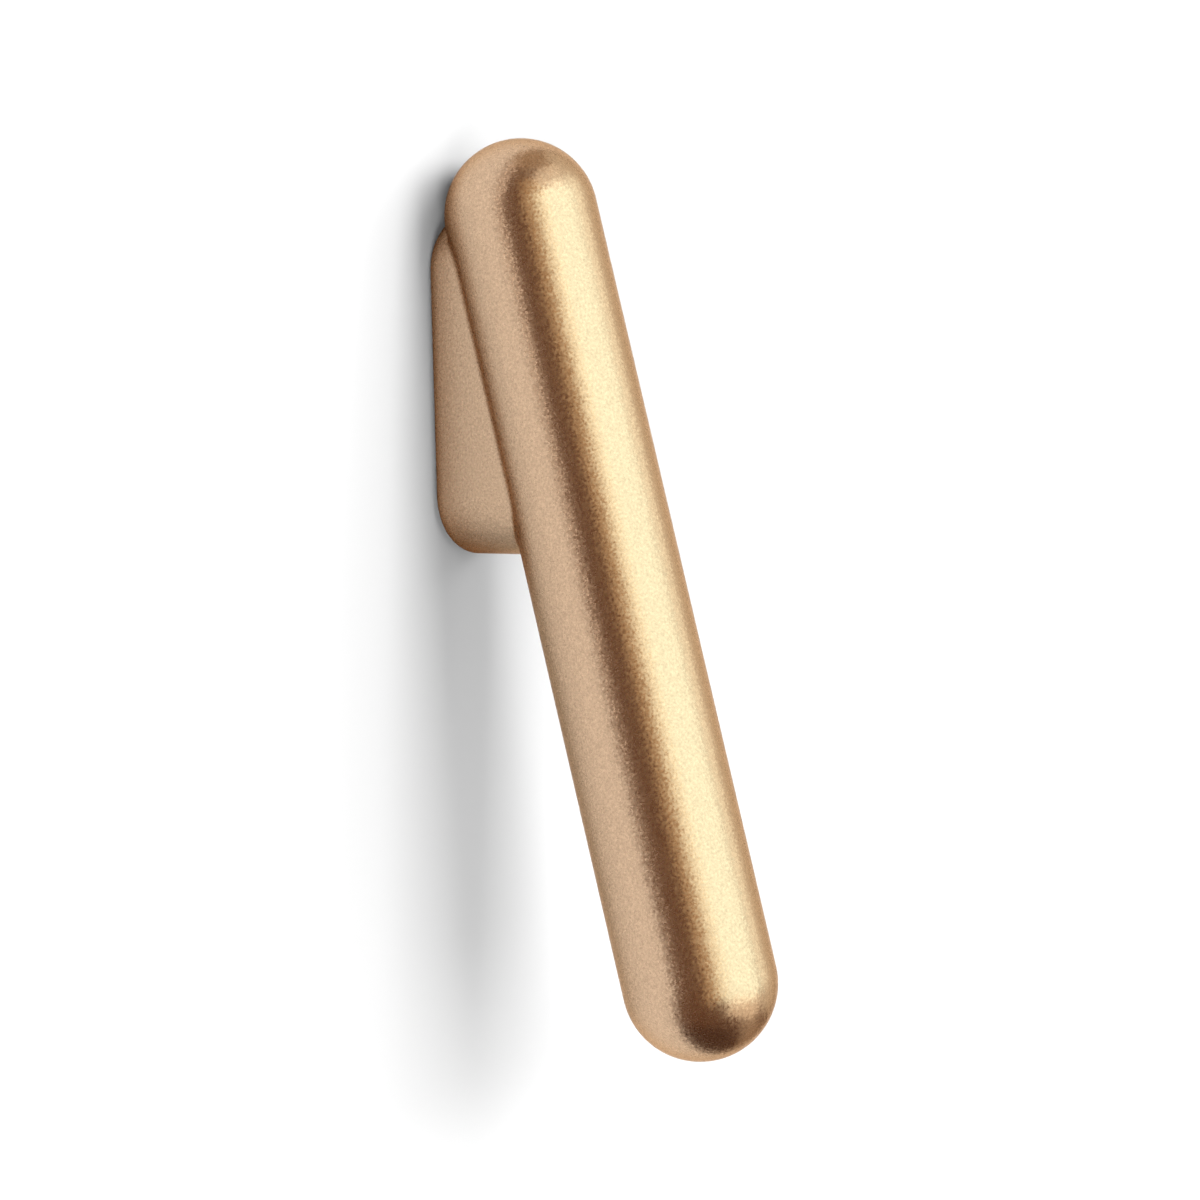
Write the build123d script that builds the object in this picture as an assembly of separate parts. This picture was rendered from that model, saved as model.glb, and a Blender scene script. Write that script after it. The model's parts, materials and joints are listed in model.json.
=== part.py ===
from build123d import *
import math
import os

# Bar: a round rod with domed ends, leaning away from the door towards its lower end
bar_diameter = 14.0
bar_length = 85.3  # from tip to tip
bar_lean = 14.5  # degrees from the door
bar_rise = 6.5  # how far the bar's upper tip stands above the foot
door_clearance = 0.1  # between the bar's upper end and the door

# Foot: a round-ended block that stands straight out from the door into the bar
foot_height = 31.4
foot_shoulder = 1.5  # how far each side of the foot stands in from the side of the bar
back_edge_radius = 1.4
crease_radius = 0.3  # where the foot runs into the bar

# Screw holes: two blind tapped holes in the foot's back
screw_spacing = 16.0
tap_drill_diameter = 3.3
hole_mouth_diameter = 4.4
drill_point_angle = 118.0
front_wall = 4.0  # metal left in front of the upper hole

# The frame: the door is the plane Y = 0, the pull stands out along -Y, and the origin
# is the middle of the foot's back
bar_radius = bar_diameter / 2
foot_width = bar_diameter - 2 * foot_shoulder
lean = math.radians(bar_lean)
upper_centre = Vector(0, -(door_clearance + bar_radius), foot_height / 2 + bar_rise - bar_radius)
along_bar = Vector(0, -math.sin(lean), -math.cos(lean))


def bar_axis_depth(height):
    """Distance from the door to the bar's axis at a height."""
    return -upper_centre.Y + (upper_centre.Z - height) * math.tan(lean)


def make_bar():
    """The rod: half of a round-ended slot, turned about the rod's axis."""
    upper_tip = upper_centre - along_bar * bar_radius
    middle = upper_tip + along_bar * (bar_length / 2)
    lengthwise = Plane(origin=middle, x_dir=along_bar, z_dir=(1, 0, 0))
    outline = SlotOverall(bar_length, bar_diameter)
    half_outline = split(outline, bisect_by=Plane.XZ)
    return revolve(lengthwise * half_outline, axis=Axis(middle, along_bar))


def make_foot():
    """The block, drawn on the door and run out to the bar's axis, with its back edge rounded."""
    outline = SlotOverall(foot_height, foot_width, rotation=90)
    block = extrude(Plane.XZ * outline, bar_axis_depth(0))
    back_edge = block.edges().group_by(Axis.Y)[-1]
    return fillet(back_edge, back_edge_radius)


def make_screw_hole(height):
    """One drilled hole with a pointed end and a countersunk mouth."""
    drill_radius = tap_drill_diameter / 2
    mouth_radius = hole_mouth_diameter / 2
    mouth_depth = mouth_radius - drill_radius
    point_length = drill_radius / math.tan(math.radians(drill_point_angle / 2))
    upper_front = bar_axis_depth(screw_spacing / 2) + bar_radius / math.cos(lean)
    hole_depth = upper_front - front_wall
    profile = make_face(
        Polyline(
            (0, 0),
            (mouth_radius, 0),
            (drill_radius, mouth_depth),
            (drill_radius, hole_depth - point_length),
            (0, hole_depth),
            close=True,
        )
    )
    across = Plane(origin=(0, 0, height), x_dir=(1, 0, 0), z_dir=(0, 0, -1))
    return revolve(across * profile, axis=Axis((0, 0, height), (0, 1, 0)))


bar = make_bar()
foot = make_foot()
body = foot + bar
crease = new_edges(foot, bar, combined=body)
pull = fillet(crease, crease_radius)
for height in (screw_spacing / 2, -screw_spacing / 2):
    pull = pull - make_screw_hole(height)

os.makedirs("parts", exist_ok=True)
export_step(pull, "parts/pull.step")
print("pull", round(pull.volume), "cubic mm, size", pull.bounding_box().size)
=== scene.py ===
import bmesh
import bpy
import json
import math
from mathutils import Matrix, Vector


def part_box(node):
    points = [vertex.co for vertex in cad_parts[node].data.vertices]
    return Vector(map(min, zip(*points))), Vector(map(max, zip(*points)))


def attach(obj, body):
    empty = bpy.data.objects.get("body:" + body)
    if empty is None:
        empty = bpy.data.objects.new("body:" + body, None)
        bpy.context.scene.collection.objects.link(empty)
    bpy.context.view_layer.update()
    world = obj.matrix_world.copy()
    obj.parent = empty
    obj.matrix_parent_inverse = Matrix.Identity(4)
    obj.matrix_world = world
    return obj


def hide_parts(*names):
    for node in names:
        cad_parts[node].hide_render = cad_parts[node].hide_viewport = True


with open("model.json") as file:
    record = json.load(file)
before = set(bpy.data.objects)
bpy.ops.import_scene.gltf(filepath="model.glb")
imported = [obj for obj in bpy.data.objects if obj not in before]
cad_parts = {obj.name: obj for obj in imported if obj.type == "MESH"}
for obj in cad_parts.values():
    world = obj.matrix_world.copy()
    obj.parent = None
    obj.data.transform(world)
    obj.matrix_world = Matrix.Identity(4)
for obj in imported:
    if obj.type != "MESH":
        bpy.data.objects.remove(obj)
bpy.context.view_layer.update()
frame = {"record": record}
mm = 0.001
mergeDistance = 0.002 * mm         # points closer than this become one
scene = bpy.context.scene
acrossX = Vector((1, 0, 0))
towardsBack = Vector((0, 1, 0))    # into the surface that the pull is screwed to
mixFactor, mixFirst, mixSecond, mixResult = 0, 6, 7, 2    # colour sockets of a Mix node


# sRGB hex to the linear colour that the shaders want
def hexColour(text):
    shares = [int(text[at:at + 2], 16) / 255 for at in (1, 3, 5)]
    linear = [share / 12.92 if share <= 0.04045 else ((share + 0.055) / 1.055) ** 2.4 for share in shares]
    return (*linear, 1.0)


def emptyTree(owner):
    owner.use_nodes = True
    owner.node_tree.nodes.clear()
    return owner.node_tree


def addNode(tree, kind, settings=None, inputs=None):
    node = tree.nodes.new(kind)
    for name, value in (settings or {}).items():
        setattr(node, name, value)
    for name, value in (inputs or {}).items():
        if isinstance(value, bpy.types.NodeSocket):
            tree.links.new(value, node.inputs[name])
        else:
            node.inputs[name].default_value = value
    return node


def addObject(name, data):
    thing = bpy.data.objects.new(name, data)
    scene.collection.objects.link(thing)
    return thing


def meshFrom(bm, name):
    mesh = bpy.data.meshes.new(name)
    bm.to_mesh(mesh)
    bm.free()
    return mesh


# spin that also draws straight runs: no angle, and a drift at each step
def sweep(bm, geom, centre, axis, angle, steps, drift=(0, 0, 0), merge=False):
    made = bmesh.ops.spin(
        bm, geom=geom, cent=centre, axis=axis, dvec=drift, angle=angle, steps=steps, use_merge=merge
    )
    return made["geom_last"]


# The pull: a round bar with domed ends on a round-ended foot, cast in one
pullShape = {
    "backClearance": 0.1 * mm,    # from the bar's upper end to the plane of the foot's back
    "footHeight": 31.4 * mm,
    "footWidth": 11.0 * mm,
    "backEdgeRadius": 1.4 * mm,
    "backEdgeSteps": 8,
    "creaseBlend": 0.35 * mm,     # soft run of the foot into the bar
    "leastBlend": 0.05,           # share of it kept where the foot is shallowest
    "blendShares": (0, 0.2, 0.4, 0.6, 0.85),
    "supportLoop": 0.2 * mm,      # loops that keep the flat sides flat in the shading
    "sideSteps": 22,
    "endSteps": 48,
    "barAround": 160,
    "barRings": 48,
    "capRings": 40,
    "sharpAbove": math.radians(32),
}

lowCorner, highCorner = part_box("pull")
barRadius = (highCorner.x - lowCorner.x) / 2
upperCentre = Vector((0, -(pullShape["backClearance"] + barRadius), highCorner.z - barRadius))
lowerCentre = Vector((0, lowCorner.y + barRadius, lowCorner.z + barRadius))
alongBar = (lowerCentre - upperCentre).normalized()
barBackward = acrossX.cross(alongBar)    # straight out of the bar's back
footHalfWidth = pullShape["footWidth"] / 2
footHalfStraight = pullShape["footHeight"] / 2 - footHalfWidth


def makeBar():
    bm = bmesh.new()
    run = (lowerCentre - upperCentre) / pullShape["barRings"]
    tip = bm.verts.new(upperCentre - alongBar * barRadius)
    last = sweep(bm, [tip], upperCentre, acrossX, math.pi / 2, pullShape["capRings"])
    last = sweep(bm, last, upperCentre, acrossX, 0, pullShape["barRings"], run)
    sweep(bm, last, lowerCentre, acrossX, math.pi / 2, pullShape["capRings"])
    profile = bm.verts[:] + bm.edges[:]
    sweep(bm, profile, upperCentre, alongBar, 2 * math.pi, pullShape["barAround"], merge=True)
    bmesh.ops.remove_doubles(bm, verts=bm.verts, dist=mergeDistance)    # closes the poles
    bmesh.ops.recalc_face_normals(bm, faces=bm.faces)
    return addObject("bar", meshFrom(bm, "bar"))


# round-ended outline in the plane of the foot's back, halfWidth from its spine
def drawOutline(bm, halfWidth):
    sideRun = Vector((0, 0, 2 * footHalfStraight / pullShape["sideSteps"]))
    upperEnd = Vector((0, 0, footHalfStraight))
    start = bm.verts.new((halfWidth, 0, -footHalfStraight))
    last = sweep(bm, [start], upperEnd, -towardsBack, 0, pullShape["sideSteps"], sideRun)
    last = sweep(bm, last, upperEnd, -towardsBack, math.pi, pullShape["endSteps"])
    last = sweep(bm, last, upperEnd, -towardsBack, 0, pullShape["sideSteps"], -sideRun)
    sweep(bm, last, -upperEnd, -towardsBack, math.pi, pullShape["endSteps"])
    bmesh.ops.remove_doubles(bm, verts=bm.verts, dist=mergeDistance)
    return bm.edges[:]


# direction straight out of the foot's side
def sideOut(point):
    spine = max(-footHalfStraight, min(footHalfStraight, point.z))
    return Vector((point.x, 0, point.z - spine)).normalized()


# depth of the bar's back at a place on the foot's outline
def barBack(x, z):
    across = math.sqrt(max(barRadius ** 2 - x ** 2, 0))
    down = (z - upperCentre.z - across * barBackward.z) / alongBar.z
    if down >= 0:
        return upperCentre.y + down * alongBar.y + across * barBackward.y
    return upperCentre.y + math.sqrt(max(barRadius ** 2 - x ** 2 - (z - upperCentre.z) ** 2, 0))


def extrudeLoop(bm, edges, place):
    made = bmesh.ops.extrude_edge_only(bm, edges=edges)["geom"]
    for vert in made:
        if isinstance(vert, bmesh.types.BMVert):
            vert.co = place(vert.co)
    return [edge for edge in made if isinstance(edge, bmesh.types.BMEdge)]


def makeFoot():
    bm = bmesh.new()
    radius = pullShape["backEdgeRadius"]
    support = pullShape["supportLoop"]
    sideStart = -radius - support
    shortestSide = sideStart - 2 * support

    # where the side meets the bar, and how soft the blend is there
    def creaseOf(point):
        out = sideOut(point)
        foot = Vector((out.x * footHalfWidth, 0, point.z))
        depth = barBack(foot.x, foot.z)
        room = (shortestSide - depth) / (2 * support)
        blend = pullShape["creaseBlend"] * min(1, max(pullShape["leastBlend"], room))
        return foot, out, min(depth, shortestSide), blend

    def flatEdge(point):
        return point + sideOut(point) * support

    def onBackEdge(grow, sink):
        return lambda point: point + sideOut(point) * grow - towardsBack * sink

    def onSide(depthOf):
        def place(point):
            foot, out, depth, blend = creaseOf(point)
            foot.y = depthOf(depth, blend)
            return foot
        return place

    def onBlend(share):
        def place(point):
            foot, out, depth, blend = creaseOf(point)
            crease = Vector((foot.x, depth, foot.z))
            sideEnd = crease + towardsBack * blend
            barEnd = crease + out * blend
            barEnd.y = min(barBack(barEnd.x, barEnd.z), depth + blend)
            return sideEnd * (1 - share) ** 2 + crease * 2 * share * (1 - share) + barEnd * share ** 2
        return place

    edges = drawOutline(bm, footHalfWidth - radius - support)
    bmesh.ops.contextual_create(bm, geom=edges)
    edges = extrudeLoop(bm, edges, flatEdge)
    turnStep = math.pi / 2 / pullShape["backEdgeSteps"]
    for step in range(pullShape["backEdgeSteps"]):
        before, after = step * turnStep, (step + 1) * turnStep
        grow = radius * (math.sin(after) - math.sin(before))
        sink = radius * (math.cos(before) - math.cos(after))
        edges = extrudeLoop(bm, edges, onBackEdge(grow, sink))
    edges = extrudeLoop(bm, edges, onSide(lambda depth, blend: sideStart))
    edges = extrudeLoop(bm, edges, onSide(lambda depth, blend: depth + blend + support))
    for share in pullShape["blendShares"]:
        edges = extrudeLoop(bm, edges, onBlend(share))
    edges = extrudeLoop(bm, edges, onSide(lambda depth, blend: depth - 2 * blend))    # into the bar
    bmesh.ops.contextual_create(bm, geom=edges)
    bmesh.ops.recalc_face_normals(bm, faces=bm.faces)
    return addObject("foot", meshFrom(bm, "foot"))


# Screw holes: drilled, countersunk and tapped M4
holeShape = {
    "drillRadius": 1.65 * mm,
    "mouthRadius": 2.2 * mm,
    "drilledDepth": 12.19 * mm,
    "pointAngle": math.radians(118),
    "threadRadius": 2.0 * mm,
    "threadPitch": 0.7 * mm,
    "threadRoot": 0.1 * mm,      # flat at the bottom of the groove
    "threadFlank": math.radians(30),
    "threadInset": 0.05 * mm,    # how far the cutter starts inside the drilled hole
    "threadTurns": 14,
    "around": 48,
}


def makeDrill(height):
    bm = bmesh.new()
    drill = holeShape["drillRadius"]
    mouth = holeShape["mouthRadius"]
    depth = holeShape["drilledDepth"]
    point = drill / math.tan(holeShape["pointAngle"] / 2)
    proud = mouth - drill
    profile = [(0, proud), (mouth + proud, proud), (drill, -proud), (drill, point - depth), (0, -depth)]
    verts = [bm.verts.new((x, y, height)) for x, y in profile]
    for one, two in zip(verts, verts[1:]):
        bm.edges.new((one, two))
    centre = Vector((0, 0, height))
    sweep(bm, verts + bm.edges[:], centre, towardsBack, 2 * math.pi, holeShape["around"], merge=True)
    bmesh.ops.remove_doubles(bm, verts=bm.verts, dist=mergeDistance)
    bmesh.ops.recalc_face_normals(bm, faces=bm.faces)
    return addObject("drill", meshFrom(bm, "drill"))


def makeTap(height):
    bm = bmesh.new()
    pitch = holeShape["threadPitch"]
    inner = holeShape["drillRadius"] - holeShape["threadInset"]
    outer = holeShape["threadRadius"]
    root = holeShape["threadRoot"]
    groove = root + 2 * (outer - inner) * math.tan(holeShape["threadFlank"])
    start = holeShape["drillRadius"] - holeShape["mouthRadius"] + pitch
    section = [
        (inner, start + groove / 2),
        (outer, start + root / 2),
        (outer, start - root / 2),
        (inner, start - groove / 2),
    ]
    face = bm.faces.new([bm.verts.new((x, y, height)) for x, y in section])
    turns = holeShape["threadTurns"]
    steps = turns * holeShape["around"]
    drift = -towardsBack * (pitch * turns / steps)
    geom = face.verts[:] + face.edges[:] + [face]
    sweep(bm, geom, Vector((0, 0, height)), towardsBack, -2 * math.pi * turns, steps, drift)
    bmesh.ops.recalc_face_normals(bm, faces=bm.faces)
    return addObject("tap", meshFrom(bm, "tap"))


def cutOrJoin(body, tool, operation):
    step = body.modifiers.new(tool.name, "BOOLEAN")
    step.operation = operation
    step.object = tool
    step.solver = "EXACT"
    depsgraph = bpy.context.evaluated_depsgraph_get()
    made = bpy.data.meshes.new_from_object(body.evaluated_get(depsgraph))
    body.modifiers.clear()
    body.data = made
    bpy.data.objects.remove(tool)


def makePull():
    body = makeBar()
    cutOrJoin(body, makeFoot(), "UNION")
    screws = next(mount for mount in frame["record"]["mounts"] if mount["name"] == "door_screws")
    spacing = screws["dims"]["spacing_y_mm"] * mm
    for height in (spacing / 2, -spacing / 2):
        cutOrJoin(body, makeDrill(height), "DIFFERENCE")
        cutOrJoin(body, makeTap(height), "DIFFERENCE")
    body.name = body.data.name = "cabinetPull"
    bm = bmesh.new()
    bm.from_mesh(body.data)
    bmesh.ops.remove_doubles(bm, verts=bm.verts, dist=mergeDistance)
    bmesh.ops.dissolve_degenerate(bm, edges=bm.edges, dist=mergeDistance)
    for face in bm.faces:
        face.smooth = True
    for edge in bm.edges:
        edge.smooth = edge.is_manifold and edge.calc_face_angle(0) < pullShape["sharpAbove"]
    openEdges = sum(not edge.is_manifold for edge in bm.edges)
    bm.to_mesh(body.data)
    bm.free()
    print("pull modelled:", len(body.data.polygons), "faces,", openEdges, "open edges")
    return body


pull = makePull()
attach(pull, "root")
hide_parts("pull")


# Gold metallic paint sprayed on a zinc casting: a matt, satin metal whose flakes lie at slightly
# different slopes, so the reflections break up into fine grain. The real flakes are about 0.05 mm
# and are drawn coarser here, so that they show
goldFinish = {
    "darkFlake": "#AE957D",
    "brightFlake": "#E5C5A6",
    "flakeSize": 0.23 * mm,
    "flakeDetail": 1.0,
    "flakeTilt": 0.23,
    "tiltShift": (0.3, 0.2, 0.1),    # in metres, so that the slopes don't follow the shades
    "edgeTint": "#E4CDB6",           # the paint turns darker and warmer at grazing angles
    "flattest": 0.3,                 # noise of the flattest and the steepest flakes
    "steepest": 0.7,
    "smoothFlake": 0.24,             # and their roughness
    "roughFlake": 0.32,
}


def makeGoldCoat():
    material = bpy.data.materials.new("sprayedGoldMetallicPaintOnCastZinc")
    tree = emptyTree(material)
    place = addNode(tree, "ShaderNodeTexCoord").outputs["Object"]
    surface = addNode(tree, "ShaderNodeNewGeometry").outputs["Normal"]
    flakes = {"Vector": place, "Scale": 1 / goldFinish["flakeSize"], "Detail": goldFinish["flakeDetail"]}
    shade = addNode(tree, "ShaderNodeTexNoise", None, flakes)
    colour = addNode(tree, "ShaderNodeMix", {"data_type": "RGBA"}, {
        mixFactor: shade.outputs["Fac"],
        mixFirst: hexColour(goldFinish["darkFlake"]),
        mixSecond: hexColour(goldFinish["brightFlake"]),
    })
    aside = addNode(tree, "ShaderNodeMapping", None, {"Vector": place, "Location": goldFinish["tiltShift"]})
    lie = addNode(tree, "ShaderNodeTexNoise", None, {**flakes, "Vector": aside.outputs[0]})
    sway = addNode(tree, "ShaderNodeVectorMath", {"operation": "SUBTRACT"}, {
        0: lie.outputs["Color"], 1: (0.5, 0.5, 0.5),    # the noise's middle
    })
    tilt = addNode(tree, "ShaderNodeVectorMath", {"operation": "MULTIPLY_ADD"}, {
        0: sway.outputs[0], 1: (goldFinish["flakeTilt"],) * 3, 2: surface,
    })
    slope = addNode(tree, "ShaderNodeVectorMath", {"operation": "NORMALIZE"}, {0: tilt.outputs[0]})
    gloss = addNode(tree, "ShaderNodeMapRange", None, {
        "Value": lie.outputs["Fac"],
        "From Min": goldFinish["flattest"], "From Max": goldFinish["steepest"],
        "To Min": goldFinish["smoothFlake"], "To Max": goldFinish["roughFlake"],
    })
    shader = addNode(tree, "ShaderNodeBsdfPrincipled", None, {
        "Base Color": colour.outputs[mixResult],
        "Metallic": 1.0,
        "Roughness": gloss.outputs[0],
        "Specular Tint": hexColour(goldFinish["edgeTint"]),
        "Normal": slope.outputs[0],
    })
    addNode(tree, "ShaderNodeOutputMaterial", None, {"Surface": shader.outputs["BSDF"]})
    return material


pull.data.materials.clear()
pull.data.materials.append(makeGoldCoat())
print("finish made")


# Stage: a pale upright panel in the plane of the foot's back, open behind the foot and clear from behind
stagePanel = {
    "colour": "#EDEDED",
    "mirroredWithGoldBounce": "#E7E4E1",    # as the metal sees it: a little darker, with a faint painted warm bounce of the gold
    "paintedShadeAndGlowNearFoot": "#C8A383",     # the same with painted shade and a painted warm glow of the gold, close to the foot
    "paintedShadeReach": 5.0 * mm,     # how far from the foot the painted shade and glow go
    "paintedShadeEnds": 2.5 * mm,      # how much further above and below it
    "gap": 0.02 * mm,          # behind the foot
    "opening": 0.05 * mm,      # inside the rounded back edge
    "left": 400 * mm,
    "right": 2000 * mm,
    "up": 88 * mm,
    "down": 235 * mm,
}


# Matt white paint, rolled on: an even, dull surface. It is clear from behind, and the metal sees it a little
# darker with a faint painted warm bounce of the gold, and close to the foot a painted shade and warm glow of
# the gold
def makePanelPaint():
    material = bpy.data.materials.new("paintedPanel")
    tree = emptyTree(material)
    facing = addNode(tree, "ShaderNodeNewGeometry")
    ray = addNode(tree, "ShaderNodeLightPath")
    # painted shade and warm glow near the foot: the panel as the metal sees it turns darker and warmer
    # towards the foot's outline
    place = addNode(tree, "ShaderNodeTexCoord").outputs["Object"]
    offset = addNode(tree, "ShaderNodeVectorMath", {"operation": "ABSOLUTE"}, {0: place})
    past = addNode(tree, "ShaderNodeVectorMath", {"operation": "SUBTRACT"}, {
        0: offset.outputs[0], 1: (0, 0, footHalfStraight + stagePanel["paintedShadeEnds"]),
    })
    away = addNode(tree, "ShaderNodeVectorMath", {"operation": "MAXIMUM"}, {0: past.outputs[0], 1: (0, 0, 0)})
    distance = addNode(tree, "ShaderNodeVectorMath", {"operation": "LENGTH"}, {0: away.outputs[0]})
    fade = addNode(tree, "ShaderNodeMapRange", None, {
        "Value": distance.outputs["Value"],
        "From Min": footHalfWidth - pullShape["backEdgeRadius"],
        "From Max": footHalfWidth + stagePanel["paintedShadeReach"],
    })
    shade = addNode(tree, "ShaderNodeMix", {"data_type": "RGBA"}, {
        mixFactor: fade.outputs[0],
        mixFirst: hexColour(stagePanel["paintedShadeAndGlowNearFoot"]),
        mixSecond: hexColour(stagePanel["mirroredWithGoldBounce"]),
    })
    paint = addNode(tree, "ShaderNodeBsdfDiffuse", None, {"Color": hexColour(stagePanel["colour"])})
    mirrored = addNode(tree, "ShaderNodeBsdfDiffuse", None, {"Color": shade.outputs[mixResult]})
    clear = addNode(tree, "ShaderNodeBsdfTransparent")
    front = addNode(tree, "ShaderNodeMixShader", None, {
        0: ray.outputs["Is Camera Ray"], 1: mirrored.outputs[0], 2: paint.outputs[0],
    })
    both = addNode(tree, "ShaderNodeMixShader", None, {
        0: facing.outputs["Backfacing"], 1: front.outputs[0], 2: clear.outputs[0],
    })
    addNode(tree, "ShaderNodeOutputMaterial", None, {"Surface": both.outputs[0]})
    return material


def makePanel():
    bm = bmesh.new()
    inset = pullShape["backEdgeRadius"] + stagePanel["opening"]
    edges = drawOutline(bm, footHalfWidth - inset)
    ends = pullShape["footHeight"] / 2 - inset

    def spread(point):
        across = sideOut(point).x * stagePanel["right" if point.x > 0 else "left"]
        return Vector((across, 0, point.z / ends * stagePanel["up" if point.z > 0 else "down"]))

    extrudeLoop(bm, edges, spread)
    bmesh.ops.translate(bm, verts=bm.verts, vec=towardsBack * stagePanel["gap"])
    bmesh.ops.recalc_face_normals(bm, faces=bm.faces)
    for face in bm.faces:
        if face.normal.y > 0:
            face.normal_flip()
    panel = addObject("panel", meshFrom(bm, "panel"))
    panel.data.materials.append(makePanelPaint())


makePanel()
print("stage made")

# Lights: soft panels, each placed by the direction it shines from, all in degrees. The stage's own lights
# don't show in the metal, and the metal's don't fall on the stage
stageLights = {
    "stageWash": {"turn": 3, "rise": 14, "wide": 31, "tall": 70, "strength": 2.5},
    "stageTop": {"turn": 10, "rise": 23, "wide": 90, "tall": 23, "strength": 3.8},
    "stageNear": {"turn": -56, "rise": 0, "wide": 20, "tall": 24, "strength": 3.6},
    "stageLow": {"turn": -48, "rise": -38, "wide": 25, "tall": 24, "strength": 7.5},
    "stageSide": {"turn": 50, "rise": -15, "wide": 45, "tall": 90, "strength": 0.8},
}
metalLights = {
    "keyPanel": {"turn": 5, "rise": 8, "wide": 71, "tall": 55, "strength": 1.2, "colour": "#E2FEF7"},
    "corePanel": {"turn": 23, "rise": 15, "wide": 78, "tall": 55, "strength": 0.83, "colour": "#E8FFF7"},
    "sidePanel": {"turn": 68, "rise": 16, "wide": 46, "tall": 86, "strength": 0.71, "colour": "#FCFFF0"},
    "topPanel": {"turn": 11, "rise": 48, "wide": 60, "tall": 30, "strength": 0.88, "colour": "#FEFFF3"},
    "overHead": {"turn": 60, "rise": 80, "wide": 129, "tall": 40, "strength": 0.3, "colour": "#FFEECB"},
    "warmPanel": {"turn": -31, "rise": 16, "wide": 36, "tall": 70, "strength": 0.51, "colour": "#F6DAA8"},
    "lowPanel": {"turn": 17, "rise": -26, "wide": 58, "tall": 26, "strength": 0.98, "colour": "#FFFAE8"},
    "underSide": {"turn": 62, "rise": -44, "wide": 60, "tall": 20, "strength": 0.3, "colour": "#FFF6E0"},
    "edgePanel": {"turn": -87, "rise": 42, "wide": 8, "tall": 80, "strength": 1.35, "colour": "#FFFAF2"},
    "backPanel": {"turn": 175, "rise": 22, "wide": 70, "tall": 60, "strength": 0.9, "colour": "#FFF6E8"},
}
lightDistance = 4.0
surround = {
    "seen": "#FFFFFF",
    "onStage": "#000000",
    "inMetal": "#765541",
    "inMetalBelow": "#583D30",    # straight below, fading to the colour above between two slopes
    "steepest": -0.88,
    "shallowest": -0.72,
}


def direction(turn, rise):
    turnAngle, riseAngle = math.radians(turn), math.radians(rise)
    level = math.cos(riseAngle)
    return Vector((math.sin(turnAngle) * level, -math.cos(turnAngle) * level, math.sin(riseAngle)))


def makeLights():
    middle = (lowCorner + highCorner) / 2
    for name, panel in {**stageLights, **metalLights}.items():
        halfWide = math.tan(math.radians(panel["wide"] / 2)) * math.cos(math.radians(panel["rise"]))
        halfTall = math.tan(math.radians(panel["tall"] / 2))
        light = bpy.data.lights.new(name, "AREA")
        light.shape = "RECTANGLE"
        light.size = 2 * lightDistance * halfWide
        light.size_y = 2 * lightDistance * halfTall
        light.energy = panel["strength"] * math.pi * light.size * light.size_y
        light.color = hexColour(panel.get("colour", "#FFFFFF"))[:3]
        lamp = addObject(name, light)
        back = direction(panel["turn"], panel["rise"])
        lamp.location = middle + back * lightDistance
        lamp.rotation_mode = "QUATERNION"
        lamp.rotation_quaternion = back.to_track_quat("Z", "Y")
        lamp.visible_camera = False
        lamp.visible_glossy = name in metalLights
        lamp.visible_diffuse = name in stageLights


def makeSurround():
    world = bpy.data.worlds.new("surround")
    scene.world = world
    tree = emptyTree(world)
    ray = addNode(tree, "ShaderNodeLightPath")
    towards = addNode(tree, "ShaderNodeTexCoord").outputs["Generated"]
    slope = addNode(tree, "ShaderNodeSeparateXYZ", None, {0: towards}).outputs["Z"]
    fade = addNode(tree, "ShaderNodeMapRange", None, {
        "Value": slope, "From Min": surround["steepest"], "From Max": surround["shallowest"],
    })
    around = addNode(tree, "ShaderNodeMix", {"data_type": "RGBA"}, {
        mixFactor: fade.outputs[0],
        mixFirst: hexColour(surround["inMetalBelow"]),
        mixSecond: hexColour(surround["inMetal"]),
    })
    metal = addNode(tree, "ShaderNodeBackground", None, {"Color": around.outputs[mixResult]})
    stage = addNode(tree, "ShaderNodeBackground", None, {"Color": hexColour(surround["onStage"])})
    seen = addNode(tree, "ShaderNodeBackground", None, {"Color": hexColour(surround["seen"])})
    lit = addNode(tree, "ShaderNodeMixShader", None, {
        0: ray.outputs["Is Glossy Ray"], 1: stage.outputs[0], 2: metal.outputs[0],
    })
    whole = addNode(tree, "ShaderNodeMixShader", None, {
        0: ray.outputs["Is Camera Ray"], 1: lit.outputs[0], 2: seen.outputs[0],
    })
    addNode(tree, "ShaderNodeOutputWorld", None, {"Surface": whole.outputs[0]})


makeLights()
makeSurround()
print("lights made")

# Camera: the photo's view of the pull, from the left and a little above
cameraView = {
    "turn": -53.5,
    "rise": 4.44,
    "roll": -1.45,
    "distance": 300 * mm,
    "right": 12.5 * mm,     # where it aims, from the middle of the foot's back
    "down": 20.03 * mm,
    "focalPixels": 3234.9,
    "framePixels": 1200,
    "sensorWidth": 36,      # in millimetres, as the lens is
    "nearest": 10 * mm,
}


def makeCamera():
    data = bpy.data.cameras.new("camera")
    camera = addObject("camera", data)
    back = direction(cameraView["turn"], cameraView["rise"])
    level = Vector((0, 0, 1)).cross(back).normalized()
    roll = Matrix.Rotation(math.radians(cameraView["roll"]), 3, back)
    right = roll @ level
    up = back.cross(right)
    aim = right * cameraView["right"] - up * cameraView["down"]
    camera.matrix_world = Matrix((right, up, back)).transposed().to_4x4()
    camera.location = aim + back * cameraView["distance"]
    data.sensor_width = cameraView["sensorWidth"]
    data.lens = data.sensor_width * cameraView["focalPixels"] / cameraView["framePixels"]
    data.clip_start = cameraView["nearest"]
    scene.camera = camera


makeCamera()
scene.view_settings.view_transform = "Standard"
scene.cycles.caustics_reflective = False    # keeps the gold's glow off the pale panel
print("camera made")
